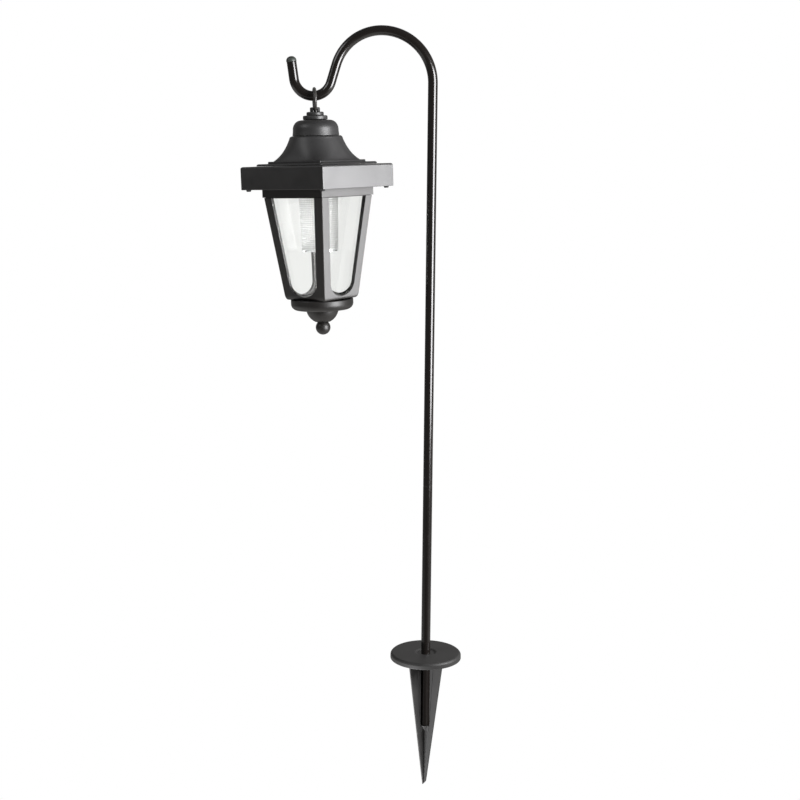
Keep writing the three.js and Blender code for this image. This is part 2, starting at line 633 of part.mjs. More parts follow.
// Leads run inside the roof, above the underplate.
const leads = {
  battery_lead_red: [look.red, [[BATTERY_X + BAY.halfX + 3, -15.5, 13], [-18, -14, 11.5], [-12, -8, 8.6],
    [-10, -6, 6.6]]],
  battery_lead_black: [look.black, [[BATTERY_X + BAY.halfX + 3, 15.5, 13], [-18, 14, 11.5], [-12, 8, 8.6],
    [-10, 5, 6.6]]],
  solar_lead_red: [look.red, [[66, -9.5, EAVE_H - 2.1], [66, -9.5, 19], [50, -9, 13], [26, -8, 10.5],
    [13, -5, 6.6]]],
  solar_lead_black: [look.black, [[66, 9.5, EAVE_H - 2.1], [66, 9.5, 19], [50, 9, 13], [26, 8, 10.5],
    [13, 6, 6.6]]],
};

// ---------- cage ----------
function windowOutline() {
  const topHalf = cageHalf(WINDOW_TOP) - POST_W;
  const archHalf = cageHalf(ARCH_START) - POST_W;
  const shape = new THREE.Shape();
  shape.moveTo(-topHalf, WINDOW_TOP);
  shape.lineTo(-archHalf, ARCH_START);
  shape.absellipse(0, ARCH_START, archHalf, ARCH_START - ARCH_BOTTOM, Math.PI, 2 * Math.PI, false);
  shape.lineTo(topHalf, WINDOW_TOP);
  return shape;
}

function cageFrame() {
  const body = joined(block(CAGE_LOW_HALF, CAGE_TOP_HALF, CAGE_LOW, CAGE_TOP),
    block(CAGE_FOOT_HALF, CAGE_LOW_HALF, CAGE_FOOT, CAGE_LOW),
    block(SPIGOT_HALF, SPIGOT_HALF, CAGE_TOP - 0.5, -0.4));
  const hollowTop = cageHalf(CAGE_TOP) - CAGE_WALL - 0.6;
  const floor = CAGE_FOOT + CAGE_FLOOR_T;
  const hollow = joined(block(cageHalf(floor) - CAGE_WALL, hollowTop, floor, CAGE_TOP + 0.01),
    block(SPIGOT_HALF - 1.9, SPIGOT_HALF - 1.9, CAGE_TOP, 1));
  const span = 120;
  const opening = solid(new THREE.ExtrudeGeometry(windowOutline(), {
    depth: span, bevelEnabled: false, curveSegments: 8,
  }).translate(0, 0, -span / 2).rotateX(Math.PI / 2));
  const studHole = rod(BALL_STUD_R + GAP, CAGE_FOOT - 1, floor + 1, 0, 0, 16);
  return cut(body, hollow, opening, opening.rotate([0, 0, 90]), studHole);
}
piece('cage_frame', cageFrame(), look.shell, square);

// Each pane stands just inside its side of the frame, leaning as the side does.
function pane(k) {
  const lean = Math.atan(taper);
  const top = -8.8;
  const low = -121;
  const inset = CAGE_WALL + 0.6 + GAP + PANE_T / 2;
  const halfAt = (z) => cageHalf(z) - inset - PANE_T - GAP;
  const stretch = 1 / Math.cos(lean);
  const height = (top - low) * stretch;
  const shape = new THREE.Shape([[-halfAt(low), 0], [halfAt(low), 0], [halfAt(top), height],
    [-halfAt(top), height]].map(([x, y]) => new THREE.Vector2(x, y)));
  const geometry = new THREE.ExtrudeGeometry(shape, { depth: PANE_T, bevelEnabled: false });
  geometry.translate(0, 0, -PANE_T / 2).rotateX(Math.PI / 2).rotateZ(Math.PI / 2).rotateY(lean);
  geometry.translate(cageHalf(low) - inset, 0, low).rotateZ(k * Math.PI / 2);
  return solid(geometry);
}
SIDES.forEach((side, k) => piece(`pane_${side}`, pane(k), look.clear, square));

// ---------- base cup and ball ----------
function baseCup() {
  const outer = [
    [CUP_R - 0.6, CUP_TOP], [CUP_R, CUP_TOP - 0.8], ...arc(CUP_R - 7, CUP_EDGE, 7, 0, -70, 4),
    [20, BOWL_Z - 2], [18.4, BOWL_Z - 2.8], ...arc(0, BOWL_Z, 18.4, -11, -62, 6, 17.6), [7.4, BOWL_LOW],
  ];
  const hole = BALL_STUD_R + GAP;
  const inner = [[hole, BOWL_LOW], [hole, BOWL_LOW + 2.2], ...arc(0, BOWL_Z, 16.4, -60, -11, 4, 15.6),
    [19, BOWL_Z], ...arc(CUP_R - 7, CUP_EDGE, 5, -70, 0, 4), [CUP_R - 2, CUP_TOP]];
  return turned([...outer, ...inner, [CUP_R - 0.6, CUP_TOP]], 28);
}
piece('base_cup', baseCup(), look.shell, lantern);

// The ball is flattened where it meets the bowl.
function ballFinial() {
  const seat = BOWL_LOW - GAP;
  const top = THREE.MathUtils.radToDeg(Math.asin((seat - BALL_Z) / BALL_R));
  const ball = turned([...arc(0, BALL_Z, BALL_R, -90, top, 10), [0, seat]], 20);
  return joined(ball, rod(BALL_STUD_R, -155, -114, 0, 0, 12));
}
piece('ball_finial', ballFinial(), look.shell, lantern);
piece('ball_nut', hexNut(7, CAGE_FOOT + CAGE_FLOOR_T + GAP, CAGE_FOOT + CAGE_FLOOR_T + 3.5, BALL_STUD_R + GAP),
  look.screw, lantern);

Object.entries(leads).forEach(([name, [material, points]]) => {
  piece(name, wire(points, 0.7, 6, 12), material, lantern);
});

export default group;
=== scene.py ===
import json
import math

import bmesh
import bpy
from mathutils import Matrix, Vector


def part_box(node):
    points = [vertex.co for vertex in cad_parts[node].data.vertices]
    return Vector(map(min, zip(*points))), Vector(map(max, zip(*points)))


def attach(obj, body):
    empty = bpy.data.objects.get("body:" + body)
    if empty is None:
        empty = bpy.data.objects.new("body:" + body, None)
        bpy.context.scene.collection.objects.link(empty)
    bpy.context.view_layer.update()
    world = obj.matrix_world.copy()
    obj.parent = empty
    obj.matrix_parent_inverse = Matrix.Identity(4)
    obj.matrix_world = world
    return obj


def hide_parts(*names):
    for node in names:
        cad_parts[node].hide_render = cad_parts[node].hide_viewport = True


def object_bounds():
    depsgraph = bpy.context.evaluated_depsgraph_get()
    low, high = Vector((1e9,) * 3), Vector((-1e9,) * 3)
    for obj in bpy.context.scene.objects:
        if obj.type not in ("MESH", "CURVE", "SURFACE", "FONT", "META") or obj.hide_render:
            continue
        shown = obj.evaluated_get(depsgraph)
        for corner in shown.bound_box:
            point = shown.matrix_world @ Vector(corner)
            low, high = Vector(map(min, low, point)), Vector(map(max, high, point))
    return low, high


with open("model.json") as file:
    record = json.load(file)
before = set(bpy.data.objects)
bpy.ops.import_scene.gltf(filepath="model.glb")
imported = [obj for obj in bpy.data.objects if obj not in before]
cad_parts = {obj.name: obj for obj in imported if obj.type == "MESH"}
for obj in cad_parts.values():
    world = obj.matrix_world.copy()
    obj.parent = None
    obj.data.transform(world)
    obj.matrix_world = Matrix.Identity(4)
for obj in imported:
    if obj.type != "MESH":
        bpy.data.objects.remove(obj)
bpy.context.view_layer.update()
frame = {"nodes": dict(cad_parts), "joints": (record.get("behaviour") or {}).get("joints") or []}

# ---------- driving sizes, as in the CAD part ----------
MM = 0.001
GAP = 0.3
TUBE_R = 5.4
TUBE_BORE_R = 4.6
SPIGOT_R = 4.3
SPIGOT_LENGTH = 30.0
HOOK_STRAIGHT_TOP = 666.1
HOOK_BENDS = [(56.7, 90.0, 1, 40), (52.4, 73.0, 1, 34)]   # radius, turn, side, steps
NECK_LENGTH = 20.1
J_BEND = (21.0, 155.0, -1, 48)
TIP_LENGTH = 18.6
CAP_R = 5.7
CAP_HEIGHT = 6.2
RING_R = 11.7
RING_WIRE_R = 1.85
EYE_Z = 85.0
EYE_R = RING_WIRE_R + GAP
DISC_R = 41.9
DISC_TOP = 7.3
SOCKET_R = 7.2
SOCKET_DEPTH, SOCKET_END = 84.0, 91.0
SLOT_HALF = 5.2
STAKE_LENGTH = 161.0
FIN_TOP_REACH, FIN_TIP_REACH = 28.4, 2.0
FIN_T, FIN_ROOT_T = 2.6, 4.4
TIP_SLANT = 47.5   # degrees
ROOF_WALL = 2.0
FOOT_CORNER, FOOT_SIDE = 48.5, 37.6   # reach of the bell canopy's foot
EAVE_HALF = 60.6
EAVE_H = 25.3
CELL_W, CELL_L, CELL_T, CELL_CENTRE = 10.0, 92.0, 1.4, 53.4
CAGE_TOP, CAGE_LOW, CAGE_FOOT = -9.3, -118.5, -124.0
CAGE_TOP_HALF, CAGE_LOW_HALF = 43.2, 30.2
CAGE_WALL, CAGE_FLOOR_T = 3.4, 2.4
POST_W = 11.4
WINDOW_TOP, ARCH_START, ARCH_BOTTOM = -9.8, -103.5, -120.0
PANE_T = 1.2
DIFFUSER_LOW, DIFFUSER_LOW_R, DIFFUSER_FLARE = -68.4, 20.3, 1.9
STUD_HOLE_R = 2.3
CUP_R = 35.4
CUP_TOP = CAGE_FOOT - 0.4
CUP_EDGE, BOWL_Z, BOWL_LOW = -129.2, -134.6, -150.7
BALL_R, BALL_Z = 8.4, -157.0

# ---------- frames ----------
joints = {joint["name"]: joint for joint in frame["joints"]}


def lantern_frame():
    """Origin on the lantern's axis at the eave's lower edge; +Y along the eye, +Z up the axis."""
    up = -Vector(joints["cage_pull"]["axis"])
    along = Vector(joints["lantern_swing"]["axis"])
    turn = Matrix((along.cross(up), along, up)).transposed().to_4x4()
    turn.translation = Vector(joints["lantern_swing"]["pos_m"]) - up * EYE_Z * MM
    return turn @ Matrix.Scale(MM, 4)


WORLD = Matrix.Scale(MM, 4)
LANTERN = lantern_frame()
SQUARE = LANTERN @ Matrix.Rotation(math.radians(45), 4, "Z")
SIDES = ["back_right", "back_left", "front_left", "front_right"]


# ---------- mesh tools, all in millimetres ----------
def build(name, points, faces):
    """Object from points and faces, its normals outward."""
    mesh = bpy.data.meshes.new(name)
    mesh.from_pydata([tuple(p) for p in points], [], faces)
    work = bmesh.new()
    work.from_mesh(mesh)
    bmesh.ops.remove_doubles(work, verts=work.verts, dist=1e-4)
    bmesh.ops.recalc_face_normals(work, faces=work.faces)
    work.to_mesh(mesh)
    work.free()
    obj = bpy.data.objects.new(name, mesh)
    bpy.context.scene.collection.objects.link(obj)
    return obj


def arc(r, z, radius, start, end, steps, radius_z=None):
    """(r, z) points of an arc about a centre; its angles are in degrees."""
    radius_z = radius if radius_z is None else radius_z
    angles = [math.radians(start + (end - start) * i / steps) for i in range(steps + 1)]
    return [(r + radius * math.cos(a), z + radius_z * math.sin(a)) for a in angles]


def rounded(profile, size, steps=3):
    """A closed or open profile with each inner corner cut back and rounded by `size`."""
    out = [profile[0]]
    for before, corner, after in zip(profile, profile[1:], profile[2:]):
        b, c, a = Vector(before), Vector(corner), Vector(after)
        reach = min(size, (b - c).length * 0.45, (a - c).length * 0.45)
        if reach < 0.02 or (c - b).angle(a - c, 0) < math.radians(12):
            out.append(tuple(c))
            continue
        start, end = c + (b - c).normalized() * reach, c + (a - c).normalized() * reach
        for i in range(steps + 1):
            t = i / steps
            out.append(tuple(start * (1 - t) ** 2 + c * 2 * t * (1 - t) + end * t ** 2))
    out.append(profile[-1])
    return out


def turned(name, profile, sides):
    """Body of revolution about Z. The profile starts and ends on the axis, or closes on itself."""
    points, faces = [], []
    for i in range(sides):
        a = 2 * math.pi * i / sides
        points += [(r * math.cos(a), r * math.sin(a), z) for r, z in profile]
    count = len(profile)
    for i in range(sides):
        this, after = i * count, (i + 1) % sides * count
        for k in range(count - 1):
            if profile[k][0] == 0 and profile[k + 1][0] == 0:
                continue
            faces.append((this + k, after + k, after + k + 1, this + k + 1))
    return build(name, points, faces)


def loft(name, rings, closed=False):
    """Skin over rings of points; the ends are capped, or joined if the loft closes on itself."""
    count = len(rings[0])
    points = [p for ring in rings for p in ring]
    faces = []
    pairs = list(zip(range(len(rings) - 1), range(1, len(rings))))
    if closed:
        pairs.append((len(rings) - 1, 0))
    for a, b in pairs:
        for i in range(count):
            j = (i + 1) % count
            faces.append((a * count + i, a * count + j, b * count + j, b * count + i))
    if not closed:
        last = (len(rings) - 1) * count
        faces += [tuple(range(count))[::-1], tuple(last + i for i in range(count))]
    return build(name, points, faces)


def sweep(name, stations, sides):
    """Round section along (point, tangent, normal, radius) stations."""
    rings = []
    for point, tangent, normal, radius in stations:
        side = tangent.cross(normal)
        rings.append([point + (normal * math.cos(a) + side * math.sin(a)) * radius
                      for a in (2 * math.pi * i / sides for i in range(sides))])
    return loft(name, rings)


def rounded_square(half, corner, z, steps=5):
    """Ring of a square with round corners."""
    ring = []
    for quarter in range(4):
        a = math.radians(quarter * 90)
        for x, y in arc(half - corner, half - corner, corner, 0, 90, steps):
            ring.append((x * math.cos(a) - y * math.sin(a), x * math.sin(a) + y * math.cos(a), z))
    return ring


def square_block(name, rows, steps=5):
    """Block of rounded squares stacked as (half, corner radius, z) rows."""
    return loft(name, [rounded_square(half, corner, z, steps) for half, corner, z in rows])


def box(name, x, y, z):
    """Block between pairs of x, y and z."""
    ring = [(x[0], y[0]), (x[1], y[0]), (x[1], y[1]), (x[0], y[1])]
    return loft(name, [[(px, py, pz) for px, py in ring] for pz in z])


def moved(obj, matrix):
    """Moves the mesh, not the object, so that pieces stay at the origin."""
    obj.data.transform(matrix)
    return obj


def combine(obj, other, operation):
    """Boolean with another object, which is used up."""
    modifier = obj.modifiers.new("combine", "BOOLEAN")
    modifier.object = other
    modifier.operation = operation
    modifier.solver = "EXACT"
    evaluated = obj.evaluated_get(bpy.context.evaluated_depsgraph_get())
    mesh = bpy.data.meshes.new_from_object(evaluated)
    obj.modifiers.clear()
    obj.data = mesh
    bpy.data.objects.remove(other)


def cut(obj, *tools):
    for tool in tools:
        combine(obj, tool, "DIFFERENCE")


def join(obj, *others):
    for other in others:
        combine(obj, other, "UNION")


def soften(obj, width, segments, angle=38):
    """Rounds every edge sharper than `angle`."""
    work = bmesh.new()
    work.from_mesh(obj.data)
    bmesh.ops.remove_doubles(work, verts=work.verts, dist=2e-3)
    bmesh.ops.dissolve_limit(work, angle_limit=math.radians(0.6), verts=work.verts, edges=work.edges)
    limit = math.radians(angle)
    edges = [e for e in work.edges if len(e.link_faces) == 2 and e.calc_face_angle(0) > limit]
    bmesh.ops.bevel(work, geom=edges, offset=width, segments=segments, profile=0.5, affect="EDGES",
                    clamp_overlap=True)
    work.to_mesh(obj.data)
    work.free()


def smooth(obj, angle):
    """Smooth shading that stops at edges sharper than `angle`."""
    mesh = obj.data
    mesh.polygons.foreach_set("use_smooth", [True] * len(mesh.polygons))
    mesh.set_sharp_from_angle(angle=math.radians(angle))
    weighted = obj.modifiers.new("even shading", "WEIGHTED_NORMAL")
    weighted.keep_sharp = True
    weighted.weight = 60


def leave_no_reflection(obj):
    """Keeps a tube from drawing a dark stripe on the flat sides beside it."""
    obj.visible_glossy = False


def settle(obj, place, body, node, material, angle=34):
    """Puts a finished piece in the frame, on its body, in place of its CAD node."""
    obj.data.transform(place)
    smooth(obj, angle)
    obj.data.materials.clear()
    obj.data.materials.append(material)
    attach(obj, body)
    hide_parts(node)


# ---------- materials, whose patterns are in metres ----------
GRAIN_DEPTH = 0.0000002
FINGER_PITCH, FINGER_W = 0.0023, 0.00022


class Nodes:
    """Short way to add and link shader nodes."""

    def __init__(self, name):
        self.material = bpy.data.materials.new(name)
        self.material.use_nodes = True
        self.tree = self.material.node_tree
        self.shader = self.tree.nodes["Principled BSDF"]
        self.where = self.add("ShaderNodeTexCoord").outputs["Object"]

    def add(self, kind, inputs=(), **settings):
        node = self.tree.nodes.new(kind)
        for key, value in settings.items():
            setattr(node, key, value)
        for key, value in dict(inputs).items():
            self.feed(node.inputs[key], value)
        return node

    def feed(self, socket, value):
        if isinstance(value, bpy.types.NodeSocket):
            self.tree.links.new(value, socket)
        else:
            socket.default_value = value

    def noise(self, scale, detail=3.0, rough=0.55, where=None, distortion=0.0):
        node = self.add("ShaderNodeTexNoise", {
            "Vector": where or self.where, "Scale": scale, "Detail": detail,
            "Roughness": rough, "Distortion": distortion})
        return node.outputs["Fac"]

    def spread(self, fac, low, high, from_low=0.3, from_high=0.7):
        node = self.add("ShaderNodeMapRange", {
            "Value": fac, "From Min": from_low, "From Max": from_high, "To Min": low, "To Max": high})
        return node.outputs["Result"]

    def blend(self, fac, a, b):
        node = self.add("ShaderNodeMix", data_type="RGBA")
        for socket, value in zip([node.inputs[0], node.inputs[6], node.inputs[7]], [fac, a, b]):
            self.feed(socket, value)
        return node.outputs[2]

    def bump(self, height, distance, normal=None):
        node = self.add("ShaderNodeBump", {"Height": height, "Distance": distance, "Strength": 1.0})
        if normal is not None:
            self.feed(node.inputs["Normal"], normal)
        return node.outputs["Normal"]

    def set(self, **values):
        for key, value in values.items():
            self.feed(self.shader.inputs[key.replace("_", " ")], value)
        return self.material


def tone(color, factor):
    """The colour made darker or lighter."""
    return tuple(min(c * factor, 1.0) for c in color[:3]) + (1.0,)


def moulded(name, color, rough, grain=1.0, vary=0.18, wave=0.00012, rough_vary=0.03):
    """Moulded plastic: a fine spark-eroded grain, faint flow in the colour and slow sink waves."""
    nodes = Nodes(name)
    cloud = nodes.noise(38.0, 4.0, distortion=0.6)
    speck = nodes.noise(420.0, 2.0)
    base = nodes.blend(nodes.spread(cloud, 0.0, 1.0), tone(color, 1 - vary), tone(color, 1 + vary))
    base = nodes.blend(nodes.spread(speck, 0.0, 0.1, 0.62, 0.8), base, tone(color, 1.5))
    slow = nodes.bump(nodes.noise(26.0, 1.0), wave)
    fine = nodes.bump(nodes.noise(3200.0, 2.0), GRAIN_DEPTH * grain, normal=slow)
    gloss = nodes.spread(cloud, rough - rough_vary, rough + rough_vary)
    return nodes.set(Base_Color=base, Roughness=gloss, Normal=fine)


def painted_steel():
    """Gloss black paint: slow changes of gloss along the tube and a little dust in the finish."""
    nodes = Nodes("gloss black paint")
    dust = nodes.noise(150.0, 2.0)
    deep_black, dusty = (0.0062, 0.005, 0.0044, 1), (0.0085, 0.007, 0.006, 1)
    base = nodes.blend(nodes.spread(dust, 0.0, 1.0, 0.6, 0.8), deep_black, dusty)
    return nodes.set(Base_Color=base, Roughness=nodes.spread(nodes.noise(40.0, 2.0), 0.15, 0.2))


def metal(name, color, rough, brush=(60.0, 60.0, 1500.0), depth=0.000006):
    """Bare or plated metal with fine drawing marks."""
    nodes = Nodes(name)
    mapped = nodes.add("ShaderNodeMapping", {"Vector": nodes.where, "Scale": brush}).outputs["Vector"]
    marks = nodes.noise(1.0, 4.0, where=mapped)
    base = nodes.blend(nodes.spread(marks, 0.0, 1.0), tone(color, 0.8), tone(color, 1.1))
    gloss = nodes.spread(marks, rough * 0.75, rough * 1.3)
    return nodes.set(Base_Color=base, Metallic=1.0, Roughness=gloss, Normal=nodes.bump(marks, depth))


def clear_plastic(name, rough, tint, wave=0.00002):
    """Clear moulding with a very slight unevenness."""
    nodes = Nodes(name)
    flow = nodes.noise(24.0, 2.0)
    gloss = nodes.spread(flow, rough, rough * 2.2)
    uneven = nodes.bump(flow, wave)
    return nodes.set(Base_Color=tint, Transmission_Weight=1.0, IOR=1.45, Roughness=gloss, Normal=uneven)


def prismatic_plastic():
    """Clear plastic that scatters a little, its tint darkened down in the grooves of its prisms as painted
    shade.
    """
    nodes = Nodes("prismatic clear plastic")
    groove = nodes.add("ShaderNodeAttribute", attribute_name="groove").outputs["Fac"]
    # The dark tint is painted shade: it stands in for the darkening that refraction in the prisms gives.
    light, dark = (0.93, 0.93, 0.925, 1), (0.52, 0.525, 0.52, 1)
    base = nodes.blend(nodes.spread(groove, 0.0, 1.0, 0.1, 0.9), light, dark)
    gloss = nodes.spread(nodes.noise(90.0), 0.34, 0.4)
    return nodes.set(Base_Color=base, Transmission_Weight=1.0, IOR=1.3, Roughness=gloss)


def solar_silicon():
    """Dark blue silicon under clear resin, crossed by a fine silver grid."""
    nodes = Nodes("solar silicon")
    turn = math.atan2(SQUARE[1][0], SQUARE[0][0])
    turned_back = {"Vector": nodes.where, "Rotation": (0, 0, turn)}
    local = nodes.add("ShaderNodeMapping", turned_back, vector_type="TEXTURE")
    split = nodes.add("ShaderNodeSeparateXYZ", {"Vector": local.outputs["Vector"]})

    def lines(axis):
        across = {0: split.outputs[axis], 1: FINGER_PITCH, 2: 0.0}
        cell = nodes.add("ShaderNodeMath", across, operation="WRAP")
        near = nodes.add("ShaderNodeMath", {0: cell.outputs[0], 1: FINGER_W}, operation="LESS_THAN")
        return near.outputs[0]

    grid = nodes.add("ShaderNodeMath", {0: lines("X"), 1: lines("Y")}, operation="MAXIMUM").outputs[0]
    crystal = nodes.add("ShaderNodeTexVoronoi", {"Vector": nodes.where, "Scale": 260.0}).outputs["Color"]
    grains = nodes.blend(crystal, (0.004, 0.006, 0.02, 1), (0.01, 0.016, 0.06, 1))
    silicon = nodes.blend(0.35, grains, (0.006, 0.008, 0.03, 1))
    base = nodes.blend(grid, silicon, (0.32, 0.33, 0.35, 1))
    gloss = nodes.spread(nodes.noise(120.0), 0.22, 0.34)
    uneven = nodes.bump(nodes.noise(50.0, 1.0), 0.00004)
    return nodes.set(Base_Color=base, Roughness=gloss, Coat_Weight=1.0, Coat_Roughness=0.06, Normal=uneven)


paint = painted_steel()
roof_black = moulded("roof plastic", (0.021, 0.0206, 0.0208), 0.46, wave=0.00003)
tray_black = moulded("tray plastic", (0.021, 0.0206, 0.0208), 0.37, wave=0.00003, rough_vary=0.05)
# Darker than the roof plastic: the extra darkness is painted shade for the collar and frame in the eave's
# shadow; the cup, ball, lid and underplate share it.
shell = moulded("cage plastic", (0.006, 0.005, 0.0044), 0.45, wave=0.00003)
stake_grey = moulded("stake plastic", (0.021, 0.0203, 0.0198), 0.56, grain=2.0, vary=0.12, wave=0.00006)
cap_grey = moulded("cap plastic", (0.034, 0.04, 0.035), 0.45)
wire_steel = moulded("dark wire", (0.03, 0.028, 0.026), 0.36, grain=0.5, wave=0.00001)
zinc = metal("zinc plate", (0.62, 0.62, 0.6), 0.3)
mirror = metal("reflector film", (0.86, 0.87, 0.88), 0.12, (300.0, 300.0, 300.0))
clear = clear_plastic("clear pane", 0.008, (0.942, 0.947, 0.936, 1), 0.000001)
ribbed = prismatic_plastic()
silicon = solar_silicon()
solder_mask = moulded("solder mask", (0.012, 0.13, 0.04), 0.3, grain=0.5, vary=0.3)
lens = clear_plastic("led resin", 0.08, (0.98, 0.96, 0.86, 1))
sleeve = moulded("battery sleeve", (0.02, 0.2, 0.07), 0.25, grain=0.3)
red = moulded("red insulation", (0.42, 0.012, 0.012), 0.42, grain=0.6)
black = moulded("black insulation", (0.012, 0.012, 0.013), 0.42, grain=0.6)


# ---------- pole and hook ----------
def hook_route():
    """(point, tangent, radius) along the upper section: swaged spigot, straight, bends and tip."""
    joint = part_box("lower_tube")[1][2] / MM + GAP
    at, heading = Vector((0.0, joint - SPIGOT_LENGTH)), 90.0
    route = []

    def forward():
        return Vector((math.cos(math.radians(heading)), math.sin(math.radians(heading))))

    def keep(radius):
        route.append((at.copy(), forward(), radius))

    for z, radius in [(joint - SPIGOT_LENGTH, SPIGOT_R - 0.4), (joint - SPIGOT_LENGTH + 0.6, SPIGOT_R),
                      (joint - 0.02, SPIGOT_R), (joint, TUBE_R - 0.45), (joint + 0.12, TUBE_R - 0.18),
                      (joint + 0.4, TUBE_R)]:
        at = Vector((0.0, z))
        keep(radius)
    at = Vector((0.0, HOOK_STRAIGHT_TOP))
    keep(TUBE_R)

    def bend(radius, turn, side, steps):
        nonlocal at, heading
        centre = at + Matrix.Rotation(side * math.pi / 2, 2) @ forward() * radius
        step = Matrix.Rotation(side * math.radians(turn) / steps, 2)
        for _ in range(steps):
            at = centre + step @ (at - centre)
            heading += side * turn / steps
            keep(TUBE_R)

    for radius, turn, side, steps in HOOK_BENDS:
        bend(radius, turn, side, steps)
    at = at + forward() * NECK_LENGTH
    keep(TUBE_R)
    bend(*J_BEND)
    for ahead, radius in [(TIP_LENGTH - 0.3, TUBE_R), (0.22, TUBE_R - 0.1), (0.08, TUBE_R - 0.3)]:
        at = at + forward() * ahead
        keep(radius)
    return route


def make_hook():
    depth = Vector((0, 1, 0))
    route = hook_route()
    stations = [(Vector((p.x, 0, p.y)), Vector((t.x, 0, t.y)), depth, r) for p, t, r in route]
    tube = sweep("hook", stations, 40)
    leave_no_reflection(tube)
    settle(tube, WORLD, "hook", "hook_tube", paint, angle=30)
    end, direction, _ = route[-1]
    side = CAP_HEIGHT - CAP_R + 0.9
    dome = arc(0, side, CAP_R, 90, 0, 12, CAP_HEIGHT - side)
    profile = rounded([*dome, (CAP_R, GAP * 0.4), (3.6, GAP * 0.4), (3.6, -9), (0, -9)], 0.25)
    profile[0] = (0, profile[0][1])
    lean = math.atan2(direction.x, direction.y)
    place = Matrix.Translation((end.x, 0, end.y)) @ Matrix.Rotation(lean, 4, "Y")
    cap = turned("hook_tip_cap_piece", profile, 48)
    settle(cap, WORLD @ place, "hook", "hook_tip_cap", cap_grey)


def make_lower_tube():
    low, high = (corner[2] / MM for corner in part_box("lower_tube"))
    profile = rounded([(0, low), (TUBE_R, low), (TUBE_R, high), (TUBE_BORE_R, high),
                       (TUBE_BORE_R, high - SPIGOT_LENGTH - 3), (0, high - SPIGOT_LENGTH - 3)], 0.35)
    pole = turned("lower_pole", profile, 48)
    settle(pole, WORLD, "stake", "lower_tube", paint, angle=30)


# ---------- ground stake ----------
def fin(name, top_reach, low_reach, low, thickness, angle):
    """One plate through the axis, thinner towards its long edges as a moulding's draft makes it."""
    top, edge = 4.6, thickness * 0.36
    rings = []
    for reach, z in [(low_reach, low), (top_reach, top)]:
        half = thickness / 2
        rings.append([(-reach, -edge, z), (0, -half, z), (reach, -edge, z),
                      (reach, edge, z), (0, half, z), (-reach, edge, z)])
    return moved(loft(name, rings), Matrix.Rotation(math.radians(angle), 4, "Z"))


def make_stake():
    disc = rounded([
        (0, 3.0), (12.5, 3.0), (14.5, 4.6), (DISC_R - 2.6, 4.4), (DISC_R - 2.0, 0), (DISC_R, 0),
        (DISC_R - 0.1, 5.2), (DISC_R - 2.2, DISC_TOP), (12.8, DISC_TOP), (10.4, 5.5), (0, 5.5)], 1.1, 5)
    socket = rounded([(0, -SOCKET_END), (3.2, -SOCKET_END), (SOCKET_R, -SOCKET_END + 7.5),
                      (SOCKET_R, 5), (0, 5)], 1.2, 4)
    body = turned("disc", disc, 144)
    join(body, turned("socket", socket, 48))
    for angle in (45, -45):
        plate = fin("fin", FIN_TOP_REACH, FIN_TIP_REACH, -STAKE_LENGTH, FIN_T, angle)
        root = fin("root", 15.0, 8.0, -SOCKET_END, FIN_ROOT_T, angle)
        join(body, plate, root)
    at_tip = Matrix.Translation((-FIN_TIP_REACH, 0, -STAKE_LENGTH))
    lean = Matrix.Rotation(-math.radians(TIP_SLANT), 4, "Y")
    slant = moved(box("slant", (-20, 20), (-20, 20), (-20, 0)), at_tip @ lean)
    end, bore_r = -SOCKET_DEPTH - GAP, TUBE_R + 0.25
    bore = turned("bore", [(0, end), (bore_r, end), (bore_r, 20), (0, 20)], 48)
    slot = box("slot", (-SLOT_HALF, SLOT_HALF), (-20, 20), (-SOCKET_DEPTH, -3))
    cut(body, slant, bore, slot)
    soften(body, 0.35, 2)
    settle(body, WORLD, "stake", "ground_stake", stake_grey)


# ---------- ring and turret ----------
def make_ring():
    """Bent wire with its two ends butted at the back."""
    steps, half_gap = 120, 0.03
    centre = Vector((0, 0, EYE_Z + RING_R))
    stations = []
    for i in range(steps + 1):
        a = half_gap + (2 * math.pi - 2 * half_gap) * i / steps
        radial = Vector((0, math.cos(a), math.sin(a)))
        tangent = Vector((0, -math.sin(a), math.cos(a)))
        end = min(i, steps - i)
        radius = RING_WIRE_R * (0.86 if end == 0 else 1.0)
        stations.append((centre + radial * RING_R, tangent, Vector((1, 0, 0)), radius))
    ring = sweep("hanging_wire_ring", stations, 24)
    settle(ring, LANTERN, "ring", "hanging_ring", wire_steel)


def tier(r, low, high, lip=1.3):
    """Upright side of a turned step, with a small lower and a round upper edge."""
    return [*arc(r - 0.5, low + 0.5, 0.5, -90, 0, 3), *arc(r - lip, high - lip, lip, 0, 86, 7)]


def make_turret():
    profile = [(0, 50), (2.5, 50), (2.5, 75), *tier(13.7, 75.0, 79.4), *tier(9.6, 79.5, 83.4),
               *tier(5.6, 83.5, 88.4), (0, 88.4)]
    body = turned("turret", profile, 72)
    reach = 9.0
    along_eye = [reach * i / 8 for i in range(-8, 9)]
    flare = [(RING_R - math.sqrt(RING_R ** 2 - y ** 2) + EYE_R, y) for y in along_eye]
    along = Matrix.Translation((0, 0, EYE_Z)) @ Matrix.Rotation(math.pi / 2, 4, "X")
    trumpet = moved(turned("trumpet", [(0, -reach), *flare, (0, reach)], 48), along)
    combine(trumpet, box("above", (-20, 20), (-20, 20), (83.5, 100)), "INTERSECT")
    eye = turned("eye", [(0, -reach), (EYE_R, -reach), (EYE_R, reach), (0, reach)], 32)
    cut(body, trumpet, moved(eye, along))
    settle(body, LANTERN, "lantern", "finial_turret", roof_black)


# ---------- dome and canopy ----------
def dome_curve(inset):
    side = [(26.0, 57.6), (25.95, 58.6), (25.6, 61.0), (25.4, 64.2)]
    crown = arc(16, 64.4, 9.4 - inset, 4, 86, 16, 10.1 - inset)
    return [(r - inset, z) for r, z in side] + crown + [(13.0, 74.6 - inset), (2.8, 74.7 - inset)]


